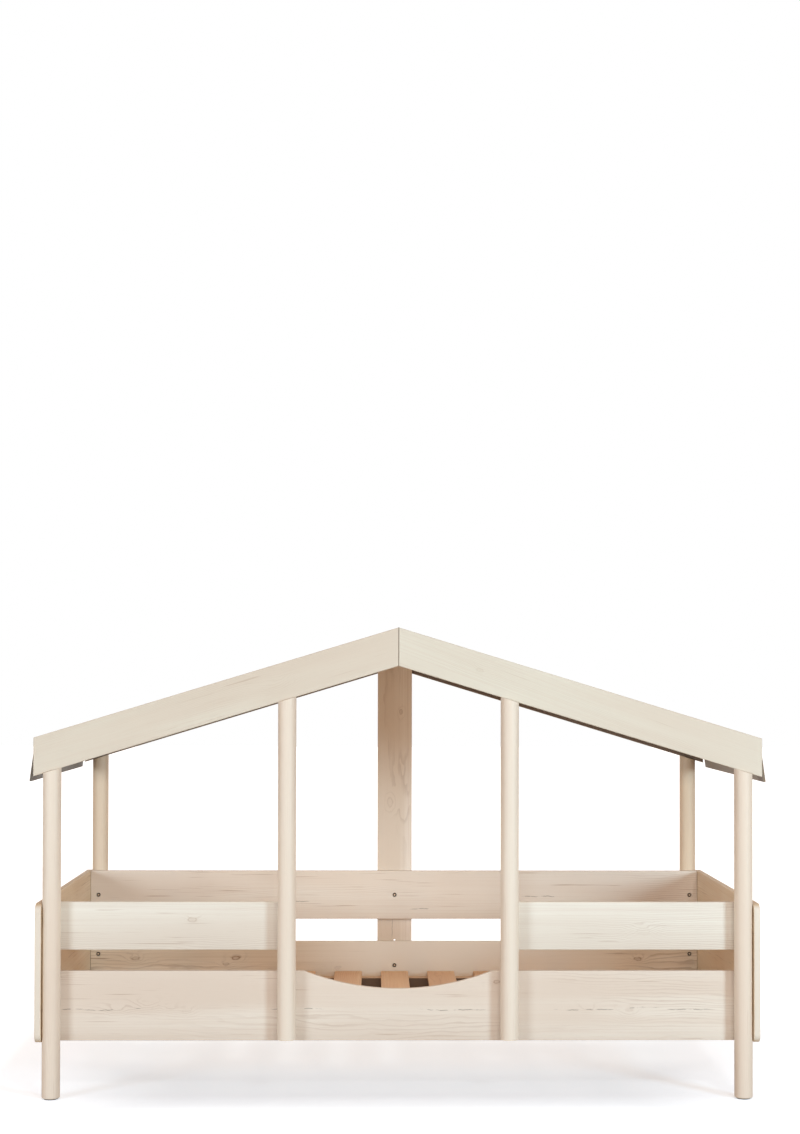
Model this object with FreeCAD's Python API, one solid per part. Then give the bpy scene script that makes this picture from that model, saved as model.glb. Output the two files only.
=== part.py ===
import FreeCAD, Part
import math
import os

# House frame bed: round posts outside board rails, end panels on the rail ends,
# a pitched roof of mitred boards with a closed deck, and a slatted mattress base.
# Millimetres. X runs along the bed, Y from the front to the back, Z up from the floor.

os.makedirs("parts", exist_ok=True)
V = FreeCAD.Vector

# Sleeping space
INNER_LENGTH = 2020.0        # between the two end panels
INNER_WIDTH = 920.0          # between the front and back rails

# Boards
BOARD_T = 18.0               # rails, end panels, centre board and roof boards
EDGE_EASE = 1.5              # eased edges of the boards
RAIL_BOTTOM_Z = 160.0        # clear height under the rails and end panels
SIDE_TOP_Z = 554.0           # top of the upper rails and end panels
FRONT_LOWER_H = 198.0
FRONT_UPPER_H = 136.0
BACK_LOWER_H = 160.0
BACK_UPPER_H = 160.0
PANEL_CORNER_R = 25.0
PANEL_BEHIND_POSTS = 2.5     # upright edges of the end panels behind the fronts of the posts
CENTER_BOARD_W = 114.0

# Scoop in the front lower rail
SCOOP_CHORD = 540.0
SCOOP_DEPTH = 51.0
SCOOP_CORNER_R = 14.0

# Posts
POST_D = 52.0
POST_SEAT = 1.5              # depth of the flat on which a rail is bolted
SEAT_GAP = 0.5               # flat above and below the rail
POST_CHAMFER = 2.5
POST_PLAY = 0.3              # between a corner post and the end panel
ENTRY_SPACING = 634.0        # between the axes of the two entry posts
ENTRY_RAISE = 7.0            # feet of the entry posts above the bottom of the rail
RAIL_PAST_ENTRY = 15.0       # upper rail end past the entry post axis
RAIL_END_R = 8.0

# Foot glides
GLIDE_D = 40.0
GLIDE_T = 3.0

# Roof
RIDGE_TOP_Z = 1338.0
ROOF_PITCH_DEG = 16.9
ROOF_BOARD_W = 105.0         # measured square to the slope
ROOF_PAST_RAILS = 26.0       # cut ends of the roof boards beyond the ends of the rails
DECK_T = 12.0
DECK_RAISE = 68.0            # deck underside above the lower edge of the roof boards
GROOVE_DEPTH = 6.0
DECK_PLAY = 0.5              # deck edge to groove bottom, and above the deck
EAVE_T = 6.0
EAVE_LEAN_DEG = 7.8
EAVE_LIP = 4.0               # eave board above the deck
EAVE_DROP = 15.0             # eave board below the end of the roof boards
EAVE_PLAY = 0.3              # between an end of the eave board and a roof board
EAVE_EDGE_R = 1.5

# Mattress base
SLAT_W = 90.0
SLAT_T = 18.0
SLAT_COUNT = 13
SLAT_END_GAP = 44.0          # between an end panel and the first slat
SLAT_PLAY = 3.0              # between the end of a slat and a rail
SLAT_EDGE_R = 3.0
SLAT_TOP_Z = 222.0
LEDGER_D = 38.0
LEDGER_H = 40.0
LEDGER_PAST_SLAT = 2.0

# Bolts and dowels, and the holes they sit in, are drawn with few sides
FASTENER_SIDES = 10

# Connector bolts in the rails, the centre board and the end panels
BOLT_D = 6.0
BOLT_HEAD_D = 11.5
BOLT_HEAD_H = 4.0
COUNTERBORE_D = 14.0
COUNTERBORE_DEPTH = 5.0
BORE_PLAY = 0.4              # added to a diameter
BORE_TIP = 2.0               # added to a depth
POST_GRIP = 32.0             # shank in a post
BOARD_GRIP = 14.0            # shank in the centre board
PANEL_GRIP = 45.0            # shank in the end of a rail
BOLT_INSET = 42.0            # from the edges of the lower rails
ENTRY_BOLT_LOW = 80.0        # lower bolt of an entry post above the rail bottom
PANEL_BOLT_UP = (20.0, 90.0, 280.0, 372.0)   # above the bottom of the end panel

# Dowels of the roof
POST_DOWEL_D = 10.0
POST_DOWEL_HALF = 30.0
RIDGE_DOWEL_D = 8.0
RIDGE_DOWEL_HALF = 25.0
RIDGE_DOWEL_LOW = 30.0
RIDGE_DOWEL_HIGH = 92.0

# Spare hole in the centre board, at the top of the back lower rail
SPARE_HOLE_D = 7.0
SPARE_HOLE_DEPTH = 10.0
SPARE_HOLE_UP = 1.0

# Derived places
HALF_L = INNER_LENGTH / 2
RAIL_IN = INNER_WIDTH / 2
RAIL_OUT = RAIL_IN + BOARD_T
RAIL_MID = (RAIL_IN + RAIL_OUT) / 2
PANEL_OUT = HALF_L + BOARD_T
CORNER_X = HALF_L - POST_PLAY - POST_D / 2
ENTRY_X = ENTRY_SPACING / 2
POST_Y = RAIL_OUT - POST_SEAT + POST_D / 2
PANEL_HALF_W = POST_Y + POST_D / 2 - PANEL_BEHIND_POSTS
ROOF_IN = RAIL_OUT + BOARD_T
ROOF_OUT = ROOF_IN + BOARD_T
ROOF_MID = (ROOF_IN + ROOF_OUT) / 2
FRONT_LOWER_TOP = RAIL_BOTTOM_Z + FRONT_LOWER_H
FRONT_UPPER_BOTTOM = SIDE_TOP_Z - FRONT_UPPER_H
BACK_LOWER_TOP = RAIL_BOTTOM_Z + BACK_LOWER_H
BACK_UPPER_BOTTOM = SIDE_TOP_Z - BACK_UPPER_H
SLOPE = math.tan(math.radians(ROOF_PITCH_DEG))
PER_COS = 1.0 / math.cos(math.radians(ROOF_PITCH_DEG))
RIDGE_UNDER_Z = RIDGE_TOP_Z - ROOF_BOARD_W * PER_COS
ROOF_HALF = HALF_L + ROOF_PAST_RAILS
DECK_UNDER_Z = RIDGE_UNDER_Z + DECK_RAISE
DECK_TOP_Z = DECK_UNDER_Z + DECK_T * PER_COS
LEAN = math.tan(math.radians(EAVE_LEAN_DEG))
EAVE_LEVEL_T = EAVE_T / math.cos(math.radians(EAVE_LEAN_DEG))
EAVE_TOP_Z = DECK_TOP_Z - SLOPE * ROOF_HALF + EAVE_LIP
EAVE_BOTTOM_Z = RIDGE_UNDER_Z - SLOPE * ROOF_HALF - EAVE_DROP
SLAT_FIRST_X = SLAT_END_GAP + SLAT_W / 2 - HALF_L
SLAT_PITCH = -2 * SLAT_FIRST_X / (SLAT_COUNT - 1)
LEDGER_HALF = HALF_L - SLAT_END_GAP + LEDGER_PAST_SLAT
LEDGER_TOP_Z = SLAT_TOP_Z - SLAT_T
BORE_D = BOLT_D + BORE_PLAY
SEAT_Y = RAIL_IN + COUNTERBORE_DEPTH
FAR = 4000.0

# Bolt heights: each rail on the posts, and the centre board on the back rails
FRONT_UPPER_BOLT = (FRONT_UPPER_BOTTOM + SIDE_TOP_Z) / 2
BACK_UPPER_BOLT = (BACK_UPPER_BOTTOM + SIDE_TOP_Z) / 2
BACK_LOWER_BOLT = (RAIL_BOTTOM_Z + BACK_LOWER_TOP) / 2
LOW_BOLT = RAIL_BOTTOM_Z + BOLT_INSET
FRONT_CORNER_BOLTS = (LOW_BOLT, FRONT_LOWER_TOP - BOLT_INSET, FRONT_UPPER_BOLT)
BACK_CORNER_BOLTS = (LOW_BOLT, BACK_LOWER_TOP - BOLT_INSET, BACK_UPPER_BOLT)
ENTRY_BOLTS = (RAIL_BOTTOM_Z + ENTRY_BOLT_LOW, FRONT_LOWER_TOP - BOLT_INSET, FRONT_UPPER_BOLT)
CENTER_BOLTS = (BACK_LOWER_BOLT, BACK_UPPER_BOLT)
RIDGE_DOWELS = (RIDGE_UNDER_Z + RIDGE_DOWEL_LOW, RIDGE_UNDER_Z + RIDGE_DOWEL_HIGH)


def box(x0, x1, y0, y1, z0, z1):
    return Part.makeBox(x1 - x0, y1 - y0, z1 - z0, V(x0, y0, z0))


def placed(shape, side_x, side_y):
    """A piece drawn at +X and +Y, mirrored to the side where it stands."""
    if side_x < 0:
        shape = shape.mirror(V(0, 0, 0), V(1, 0, 0))
    if side_y < 0:
        shape = shape.mirror(V(0, 0, 0), V(0, 1, 0))
    return shape


def section(points, y0, y1):
    """A solid from a closed outline in the XZ plane, between two Y planes."""
    corners = [V(x, y0, z) for x, z in points]
    face = Part.Face(Part.makePolygon(corners + [corners[0]]))
    return face.extrude(V(0, y1 - y0, 0))


def eased(shape, radius, chosen):
    """Rounds the edges that the test picks."""
    return shape.makeFillet(radius, [e for e in shape.Edges if chosen(e)])


def along(edge, axis):
    """True for a straight edge that runs along the given direction."""
    if not isinstance(edge.Curve, Part.Line):
        return False
    step = edge.valueAt(edge.LastParameter) - edge.valueAt(edge.FirstParameter)
    return abs(abs(step.dot(axis)) - step.Length) < 1e-6 * step.Length


def in_plane(edge, axis, level):
    """True for an edge that lies at one level of the given direction."""
    first = edge.valueAt(edge.FirstParameter).dot(axis)
    middle = edge.valueAt((edge.FirstParameter + edge.LastParameter) / 2).dot(axis)
    last = edge.valueAt(edge.LastParameter).dot(axis)
    return max(abs(first - level), abs(middle - level), abs(last - level)) < 1e-6


def prism(diameter, length, spot, axis):
    """A many-sided pin or hole that starts at a spot and runs along an axis."""
    ring = []
    for k in range(FASTENER_SIDES + 1):
        turn = 2 * math.pi * k / FASTENER_SIDES
        ring.append(V(diameter / 2 * math.cos(turn), diameter / 2 * math.sin(turn), 0))
    pin = Part.Face(Part.makePolygon(ring)).extrude(V(0, 0, length))
    pin.Placement = FreeCAD.Placement(spot, FreeCAD.Rotation(V(0, 0, 1), axis))
    return pin


def bolt(shank, spot, axis):
    """A connector bolt with the underside of its head at the spot."""
    head = prism(BOLT_HEAD_D, BOLT_HEAD_H, spot - axis * BOLT_HEAD_H, axis)
    return head.fuse(prism(BOLT_D, shank, spot, axis))


def counterbore(spot, axis):
    """A stepped hole through a board, from the face where the spot is."""
    start = spot - axis
    seat = prism(COUNTERBORE_D, COUNTERBORE_DEPTH + 1, start, axis)
    return seat.fuse(prism(BORE_D, BOARD_T + 2, start, axis))


def rail_bore(x, z):
    return counterbore(V(x, RAIL_IN, z), V(0, 1, 0))


def end_bores(z0, z1):
    """Holes for the panel bolts in the right end of a rail between two heights."""
    holes = []
    for up in PANEL_BOLT_UP:
        z = RAIL_BOTTOM_Z + up
        if z0 < z < z1:
            holes.append(prism(BORE_D, PANEL_GRIP + BORE_TIP, V(HALF_L, RAIL_MID, z), V(-1, 0, 0)))
    return holes


def chamfered(shape, size, chosen):
    """Cuts back the edges that the test picks."""
    return shape.makeChamfer(size, [e for e in shape.Edges if chosen(e)])


def open_outline(edge):
    """An edge round a rail's inner or outer face, apart from the ends behind the end panels."""
    if abs(abs(edge.CenterOfMass.x) - HALF_L) < 1e-3:
        return False
    return in_plane(edge, V(0, 1, 0), RAIL_IN) or in_plane(edge, V(0, 1, 0), RAIL_OUT)


def back_rail(z0, z1, corner_bolts, center_bolt):
    """A back rail: bored for the corner posts, the centre board and the end panels."""
    rail = box(-HALF_L, HALF_L, RAIL_IN, RAIL_OUT, z0, z1)
    rail = chamfered(rail, EDGE_EASE, lambda e: along(e, V(1, 0, 0)))
    cuts = [rail_bore(0, center_bolt)]
    for side in (-1, 1):
        for z in corner_bolts:
            cuts.append(rail_bore(side * CORNER_X, z))
        for hole in end_bores(z0, z1):
            cuts.append(placed(hole, side, 1))
    return rail.cut(cuts)


def front_lower_rail():
    """The front lower rail, scooped between the entry posts."""
    half = SCOOP_CHORD / 2
    top = FRONT_LOWER_TOP
    y = RAIL_IN
    arc = Part.Arc(V(half, y, top), V(0, y, top - SCOOP_DEPTH), V(-half, y, top)).toShape()
    lines = [
        Part.makeLine(V(-half, y, top), V(-HALF_L, y, top)),
        Part.makeLine(V(-HALF_L, y, top), V(-HALF_L, y, RAIL_BOTTOM_Z)),
        Part.makeLine(V(-HALF_L, y, RAIL_BOTTOM_Z), V(HALF_L, y, RAIL_BOTTOM_Z)),
        Part.makeLine(V(HALF_L, y, RAIL_BOTTOM_Z), V(HALF_L, y, top)),
        Part.makeLine(V(HALF_L, y, top), V(half, y, top)),
    ]
    rail = Part.Face(Part.Wire([arc] + lines)).extrude(V(0, BOARD_T, 0))

    def scoop_corner(edge):
        spot = edge.valueAt(edge.FirstParameter)
        return along(edge, V(0, 1, 0)) and abs(abs(spot.x) - half) < 1e-3

    rail = eased(rail, SCOOP_CORNER_R, scoop_corner)
    rail = chamfered(rail, EDGE_EASE, open_outline)
    cuts = []
    for side in (-1, 1):
        for z in FRONT_CORNER_BOLTS[:2]:
            cuts.append(rail_bore(side * CORNER_X, z))
        for z in ENTRY_BOLTS[:2]:
            cuts.append(rail_bore(side * ENTRY_X, z))
        for hole in end_bores(RAIL_BOTTOM_Z, top):
            cuts.append(placed(hole, side, 1))
    return placed(rail.cut(cuts), 1, -1)


def front_upper_rail(side):
    """One of the two front upper rails, from the end panel to behind an entry post."""
    start = ENTRY_X - RAIL_PAST_ENTRY
    rail = box(start, HALF_L, RAIL_IN, RAIL_OUT, FRONT_UPPER_BOTTOM, SIDE_TOP_Z)
    rail = eased(rail, RAIL_END_R,
                 lambda e: along(e, V(0, 1, 0)) and abs(e.CenterOfMass.x - start) < 1e-3)
    rail = chamfered(rail, EDGE_EASE, open_outline)
    cuts = [rail_bore(CORNER_X, FRONT_UPPER_BOLT), rail_bore(ENTRY_X, FRONT_UPPER_BOLT)]
    cuts += end_bores(FRONT_UPPER_BOTTOM, SIDE_TOP_Z)
    return placed(rail.cut(cuts), side, -1)


def end_panel(side):
    """An end panel with rounded corners that covers the ends of the rails and the posts."""
    panel = box(HALF_L, PANEL_OUT, -PANEL_HALF_W, PANEL_HALF_W, RAIL_BOTTOM_Z, SIDE_TOP_Z)
    panel = eased(panel, PANEL_CORNER_R, lambda e: along(e, V(1, 0, 0)))
    panel = chamfered(panel, EDGE_EASE, lambda e: in_plane(e, V(1, 0, 0), PANEL_OUT))
    cuts = []
    for y in (-RAIL_MID, RAIL_MID):
        for up in PANEL_BOLT_UP:
            cuts.append(counterbore(V(PANEL_OUT, y, RAIL_BOTTOM_Z + up), V(-1, 0, 0)))
    return placed(panel.cut(cuts), side, 1)


def above_slope(x0, x1, z_ridge):
    """Everything over a line of the roof slope between two X."""
    return section([
        (x0, z_ridge - SLOPE * x0),
        (x1, z_ridge - SLOPE * x1),
        (x1, FAR),
        (x0, FAR),
    ], -FAR, FAR)


def post_dowel_hole(x):
    """Room for the dowel between a post and its roof board."""
    reach = POST_DOWEL_HALF + BORE_TIP
    foot = V(x, ROOF_MID, RIDGE_UNDER_Z - SLOPE * x - reach)
    return prism(POST_DOWEL_D + BORE_PLAY, 2 * reach, foot, V(0, 0, 1))


def post(x, bottom, rails, bolts, chamfer):
    """A round post under the roof boards, flattened where the rails are bolted on."""
    body = Part.makeCylinder(POST_D / 2, RIDGE_TOP_Z - bottom, V(x, POST_Y, bottom))
    if chamfer:
        body = chamfered(body, chamfer, lambda e: in_plane(e, V(0, 0, 1), bottom))
    cuts = [above_slope(x - POST_D, x + POST_D, RIDGE_UNDER_Z), post_dowel_hole(x)]
    for z0, z1 in rails:
        cuts.append(box(x - POST_D, x + POST_D, 0, RAIL_OUT, z0 - SEAT_GAP, z1 + SEAT_GAP))
    for z in bolts:
        cuts.append(prism(BORE_D, POST_GRIP + BORE_TIP, V(x, RAIL_OUT, z), V(0, 1, 0)))
    return body.cut(cuts)


def corner_post(side_x, side_y):
    lower_top = BACK_LOWER_TOP if side_y > 0 else FRONT_LOWER_TOP
    upper_bottom = BACK_UPPER_BOTTOM if side_y > 0 else FRONT_UPPER_BOTTOM
    bolts = BACK_CORNER_BOLTS if side_y > 0 else FRONT_CORNER_BOLTS
    rails = [(RAIL_BOTTOM_Z, lower_top), (upper_bottom, SIDE_TOP_Z)]
    return placed(post(CORNER_X, GLIDE_T, rails, bolts, POST_CHAMFER), side_x, side_y)


def entry_post(side):
    rails = [(RAIL_BOTTOM_Z, FRONT_LOWER_TOP), (FRONT_UPPER_BOTTOM, SIDE_TOP_Z)]
    return placed(post(ENTRY_X, RAIL_BOTTOM_Z + ENTRY_RAISE, rails, ENTRY_BOLTS, 0), side, -1)


def foot_glides():
    """A round glide under each corner post."""
    glide = Part.makeCylinder(GLIDE_D / 2, GLIDE_T, V(CORNER_X, POST_Y, 0))
    return Part.makeCompound([placed(glide, sx, sy) for sx in (-1, 1) for sy in (-1, 1)])


def center_board():
    """The upright board behind the back rails, cut to the deck at the ridge."""
    half = CENTER_BOARD_W / 2
    low = RAIL_BOTTOM_Z
    points = [(-half, low), (half, low), (half, DECK_UNDER_Z - SLOPE * half),
              (0, DECK_UNDER_Z), (-half, DECK_UNDER_Z - SLOPE * half)]
    board = section(points, RAIL_OUT, ROOF_IN)
    board = chamfered(board, EDGE_EASE, lambda e: along(e, V(0, 0, 1)))
    cuts = [prism(BORE_D, BOARD_GRIP + BORE_TIP, V(0, RAIL_OUT, z), V(0, 1, 0)) for z in CENTER_BOLTS]
    spare = V(0, RAIL_OUT, BACK_LOWER_TOP + SPARE_HOLE_UP)
    cuts.append(prism(SPARE_HOLE_D, SPARE_HOLE_DEPTH, spare, V(0, 1, 0)))
    return board.cut(cuts)


def roof_board(side_x, side_y):
    """A roof board: mitred at the ridge, grooved for the deck, bored for its dowels."""
    board = section([
        (0, RIDGE_UNDER_Z),
        (ROOF_HALF, RIDGE_UNDER_Z - SLOPE * ROOF_HALF),
        (ROOF_HALF, RIDGE_TOP_Z - SLOPE * ROOF_HALF),
        (0, RIDGE_TOP_Z),
    ], ROOF_IN, ROOF_OUT)
    board = chamfered(board, EDGE_EASE, lambda e: not along(e, V(0, 1, 0)))
    groove_top = DECK_TOP_Z + DECK_PLAY
    low = deck_end_x(DECK_UNDER_Z) + DECK_PLAY
    high = deck_end_x(groove_top) + DECK_PLAY
    cuts = [section([
        (-1, DECK_UNDER_Z + SLOPE),
        (low, DECK_UNDER_Z - SLOPE * low),
        (high, groove_top - SLOPE * high),
        (-1, groove_top + SLOPE),
    ], ROOF_IN - 1, ROOF_IN + GROOVE_DEPTH)]
    for x in (CORNER_X, ENTRY_X) if side_y < 0 else (CORNER_X,):
        cuts.append(post_dowel_hole(x))
    for z in RIDGE_DOWELS:
        length = RIDGE_DOWEL_HALF + BORE_TIP + 1
        cuts.append(prism(RIDGE_DOWEL_D + BORE_PLAY, length, V(-1, ROOF_MID, z), V(1, 0, 0)))
    return placed(board.cut(cuts), side_x, side_y)


def eave_outer_x(z):
    """Outer face of an eave board at a height: flush with the roof ends at its top."""
    return ROOF_HALF + (EAVE_TOP_Z - z) * LEAN


def deck_end_x(z_ridge):
    """Where a line of the roof slope meets the inner face of an eave board."""
    return (eave_outer_x(z_ridge) - EAVE_LEVEL_T) / (1 - SLOPE * LEAN)


def roof_deck(side):
    """One half of the closed deck, let into the grooves of the roof boards."""
    low = deck_end_x(DECK_UNDER_Z)
    high = deck_end_x(DECK_TOP_Z)
    reach = ROOF_IN + GROOVE_DEPTH - DECK_PLAY
    deck = section([
        (0, DECK_UNDER_Z),
        (low, DECK_UNDER_Z - SLOPE * low),
        (high, DECK_TOP_Z - SLOPE * high),
        (0, DECK_TOP_Z),
    ], -reach, reach)
    return placed(deck, side, 1)


def eave_board(side):
    """A thin board on the end of the deck, between the roof boards, that leans out downward."""
    top = eave_outer_x(EAVE_TOP_Z)
    bottom = eave_outer_x(EAVE_BOTTOM_Z)
    reach = ROOF_IN - EAVE_PLAY
    board = section([
        (top - EAVE_LEVEL_T, EAVE_TOP_Z),
        (top, EAVE_TOP_Z),
        (bottom, EAVE_BOTTOM_Z),
        (bottom - EAVE_LEVEL_T, EAVE_BOTTOM_Z),
    ], -reach, reach)

    def outer(edge):
        return along(edge, V(0, 1, 0)) and edge.CenterOfMass.x > eave_outer_x(edge.CenterOfMass.z) - 1

    return placed(eased(board, EAVE_EDGE_R, outer), side, 1)


def slat_ledger(side):
    """A batten along a lower rail that carries the slats."""
    free = RAIL_IN - LEDGER_D
    batten = box(-LEDGER_HALF, LEDGER_HALF, free, RAIL_IN, LEDGER_TOP_Z - LEDGER_H, LEDGER_TOP_Z)
    batten = chamfered(batten, EDGE_EASE, lambda e: along(e, V(1, 0, 0)) and e.CenterOfMass.y < free + 1e-3)
    return placed(batten, 1, side)


def slat(x):
    reach = RAIL_IN - SLAT_PLAY
    board = box(x - SLAT_W / 2, x + SLAT_W / 2, -reach, reach, LEDGER_TOP_Z, SLAT_TOP_Z)
    return eased(board, SLAT_EDGE_R, lambda e: along(e, V(0, 1, 0)) and e.CenterOfMass.z > SLAT_TOP_Z - 1)


def rail_bolts():
    """The bolts that hold the rails on the six posts."""
    shank = BOARD_T - COUNTERBORE_DEPTH + POST_GRIP
    pieces = []
    for side in (-1, 1):
        for z in BACK_CORNER_BOLTS:
            pieces.append(bolt(shank, V(side * CORNER_X, SEAT_Y, z), V(0, 1, 0)))
        for z in FRONT_CORNER_BOLTS:
            pieces.append(bolt(shank, V(side * CORNER_X, -SEAT_Y, z), V(0, -1, 0)))
        for z in ENTRY_BOLTS:
            pieces.append(bolt(shank, V(side * ENTRY_X, -SEAT_Y, z), V(0, -1, 0)))
    return Part.makeCompound(pieces)


def center_board_bolts():
    shank = BOARD_T - COUNTERBORE_DEPTH + BOARD_GRIP
    return Part.makeCompound([bolt(shank, V(0, SEAT_Y, z), V(0, 1, 0)) for z in CENTER_BOLTS])


def end_panel_bolts():
    """The bolts through the end panels into the ends of the rails."""
    shank = BOARD_T - COUNTERBORE_DEPTH + PANEL_GRIP
    pieces = []
    for side in (-1, 1):
        for y in (-RAIL_MID, RAIL_MID):
            for up in PANEL_BOLT_UP:
                spot = V(side * (PANEL_OUT - COUNTERBORE_DEPTH), y, RAIL_BOTTOM_Z + up)
                pieces.append(bolt(shank, spot, V(-side, 0, 0)))
    return Part.makeCompound(pieces)


def post_dowels():
    """The upright dowels between the posts and the roof boards."""
    pieces = []
    for side_x in (-1, 1):
        for x, side_y in ((CORNER_X, -1), (ENTRY_X, -1), (CORNER_X, 1)):
            foot = V(side_x * x, side_y * ROOF_MID, RIDGE_UNDER_Z - SLOPE * x - POST_DOWEL_HALF)
            pieces.append(prism(POST_DOWEL_D, 2 * POST_DOWEL_HALF, foot, V(0, 0, 1)))
    return Part.makeCompound(pieces)


def ridge_dowels():
    """The level dowels across the two mitres."""
    pieces = []
    for side in (-1, 1):
        for z in RIDGE_DOWELS:
            start = V(-RIDGE_DOWEL_HALF, side * ROOF_MID, z)
            pieces.append(prism(RIDGE_DOWEL_D, 2 * RIDGE_DOWEL_HALF, start, V(1, 0, 0)))
    return Part.makeCompound(pieces)


def all_nodes():
    nodes = {}
    sides = (("left", -1), ("right", 1))
    rows = (("front", -1), ("back", 1))
    for row, sy in rows:
        for name, sx in sides:
            nodes["post_%s_%s" % (row, name)] = corner_post(sx, sy)
            nodes["roof_board_%s_%s" % (row, name)] = roof_board(sx, sy)
    for name, sx in sides:
        nodes["post_entry_" + name] = entry_post(sx)
        nodes["front_upper_rail_" + name] = front_upper_rail(sx)
        nodes["end_panel_" + name] = end_panel(sx)
        nodes["roof_deck_" + name] = roof_deck(sx)
        nodes["eave_board_" + name] = eave_board(sx)
    for row, sy in rows:
        nodes["slat_ledger_" + row] = slat_ledger(sy)
    low_bolts = BACK_CORNER_BOLTS[:2]
    high_bolts = BACK_CORNER_BOLTS[2:]
    nodes["front_lower_rail"] = front_lower_rail()
    nodes["back_lower_rail"] = back_rail(RAIL_BOTTOM_Z, BACK_LOWER_TOP, low_bolts, BACK_LOWER_BOLT)
    nodes["back_upper_rail"] = back_rail(BACK_UPPER_BOTTOM, SIDE_TOP_Z, high_bolts, BACK_UPPER_BOLT)
    nodes["center_board"] = center_board()
    for k in range(SLAT_COUNT):
        nodes["slat_%02d" % (k + 1)] = slat(SLAT_FIRST_X + k * SLAT_PITCH)
    nodes["foot_glides"] = foot_glides()
    nodes["rail_bolts"] = rail_bolts()
    nodes["center_board_bolts"] = center_board_bolts()
    nodes["end_panel_bolts"] = end_panel_bolts()
    nodes["post_dowels"] = post_dowels()
    nodes["ridge_dowels"] = ridge_dowels()
    return nodes


for node, shape in all_nodes().items():
    shape.exportStep("parts/%s.step" % node)
    print(node, len(shape.Solids), round(shape.Volume))
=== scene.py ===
import math

import bmesh
import bpy
from mathutils import Matrix, Vector


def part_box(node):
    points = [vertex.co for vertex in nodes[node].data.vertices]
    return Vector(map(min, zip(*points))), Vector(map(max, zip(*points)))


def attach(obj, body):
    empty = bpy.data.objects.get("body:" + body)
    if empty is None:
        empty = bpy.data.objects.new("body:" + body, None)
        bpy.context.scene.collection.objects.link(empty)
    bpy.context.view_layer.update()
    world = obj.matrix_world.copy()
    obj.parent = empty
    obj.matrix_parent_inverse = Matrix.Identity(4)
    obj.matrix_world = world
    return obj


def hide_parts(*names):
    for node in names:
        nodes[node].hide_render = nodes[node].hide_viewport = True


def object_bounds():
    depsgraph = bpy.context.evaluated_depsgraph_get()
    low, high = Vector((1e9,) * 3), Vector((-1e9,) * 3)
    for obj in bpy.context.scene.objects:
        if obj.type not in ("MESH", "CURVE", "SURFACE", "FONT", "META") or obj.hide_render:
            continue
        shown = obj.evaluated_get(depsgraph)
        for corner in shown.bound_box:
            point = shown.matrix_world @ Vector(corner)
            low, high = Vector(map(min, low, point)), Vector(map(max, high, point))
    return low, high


# House frame bed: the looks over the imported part. Metres, in the part's own frame:
# the front is -Y, +X is to the right seen from the front, and the floor is Z = 0.

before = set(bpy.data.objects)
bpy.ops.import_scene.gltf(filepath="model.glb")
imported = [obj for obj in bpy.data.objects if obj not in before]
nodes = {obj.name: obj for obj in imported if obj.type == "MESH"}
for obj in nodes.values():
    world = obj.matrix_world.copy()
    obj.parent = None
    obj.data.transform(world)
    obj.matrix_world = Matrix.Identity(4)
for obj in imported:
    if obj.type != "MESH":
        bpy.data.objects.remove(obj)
cad_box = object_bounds()

# Camera, fitted to the edges of posts, rails and roof in the photograph
PHOTO_H = 1134
CAMERA_AT = (-0.0727, -6.1440, 1.1822)
CAMERA_YAW = 0.01352
CAMERA_PITCH = 0.01683
CAMERA_ROLL = 0.0018
FOCAL_PX = 1979.7
PRINCIPAL_Y_PX = 648.8
SENSOR = 36.0
CAMERA_REACH = 200

# Boards
ROUND_R = 0.002              # rounded arris
ROUND_STEPS = 3
SLAT_R = 0.003
RAIL_END_R = 0.008           # free ends of the front upper rails
RAIL_END_STEPS = 5
PANEL_CORNER_R = 0.025
PANEL_CORNER_STEPS = 8
SCOOP_HALF = 0.270
SCOOP_DEPTH = 0.051
SCOOP_STEPS = 40
SCOOP_CORNER_R = 0.014
SCOOP_CORNER_STEPS = 6
HOLE_SIDES = 24
BOLT_HOLE_R = 0.007
SPARE_HOLE_R = 0.0035
SPARE_HOLE_UP = 0.001        # above the top of the back lower rail
PIN_REACH = 0.06             # from the middle of a bolt, past its end and short of its neighbour
SMOOTH_DEG = 40              # a sharper edge stays sharp
METAL_SMOOTH_DEG = 30

# Bolts: button heads seated below the face of the board
BOLT_HEAD_R = 0.00575
BOLT_HEAD_H = 0.004
BOLT_SHANK_R = 0.003
SOCKET_R = 0.0023
SOCKET_DEPTH = 0.0007
SOCKET_LIP = 0.0002
BOLT_CROWN = ((0.7, 0.0), (0.92, 0.0008), (1.0, 0.0020))     # radii of the head, depth
BOLT_SIDES = 32

# Screws of the slat ledgers
SCREW_HEAD_R = 0.0045
SCREW_HEAD_H = 0.003
SCREW_RECESS = 0.0012
SCREW_COUNT = 7
SCREW_END = 0.060            # from the end of a ledger to its first screw
SCREW_SIDES = 24

# Foot glides
GLIDE_EDGE = ((0.0010, 0.0), (0.0002, 0.0004), (0.0, 0.0012))     # inwards from the rim, up
GLIDE_SIDES = 64

ALONG_X = (1, 0, 0)
ALONG_Y = (0, 1, 0)
ALONG_Z = (0, 0, 1)

# Axes of a board's outline, and of its thickness
XZ = (0, 2, 1)
YZ = (1, 2, 0)
XY = (0, 1, 2)


def low(node):
    return Vector(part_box(node)[0])


def high(node):
    return Vector(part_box(node)[1])


# ---------------------------------------------------------------- node graphs

def colour(r, g, b):
    """A colour given in the display's 0 to 255, as linear light."""
    def linear(v):
        v = v / 255
        return v / 12.92 if v <= 0.04045 else ((v + 0.055) / 1.055) ** 2.4
    return (linear(r), linear(g), linear(b), 1.0)


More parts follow.
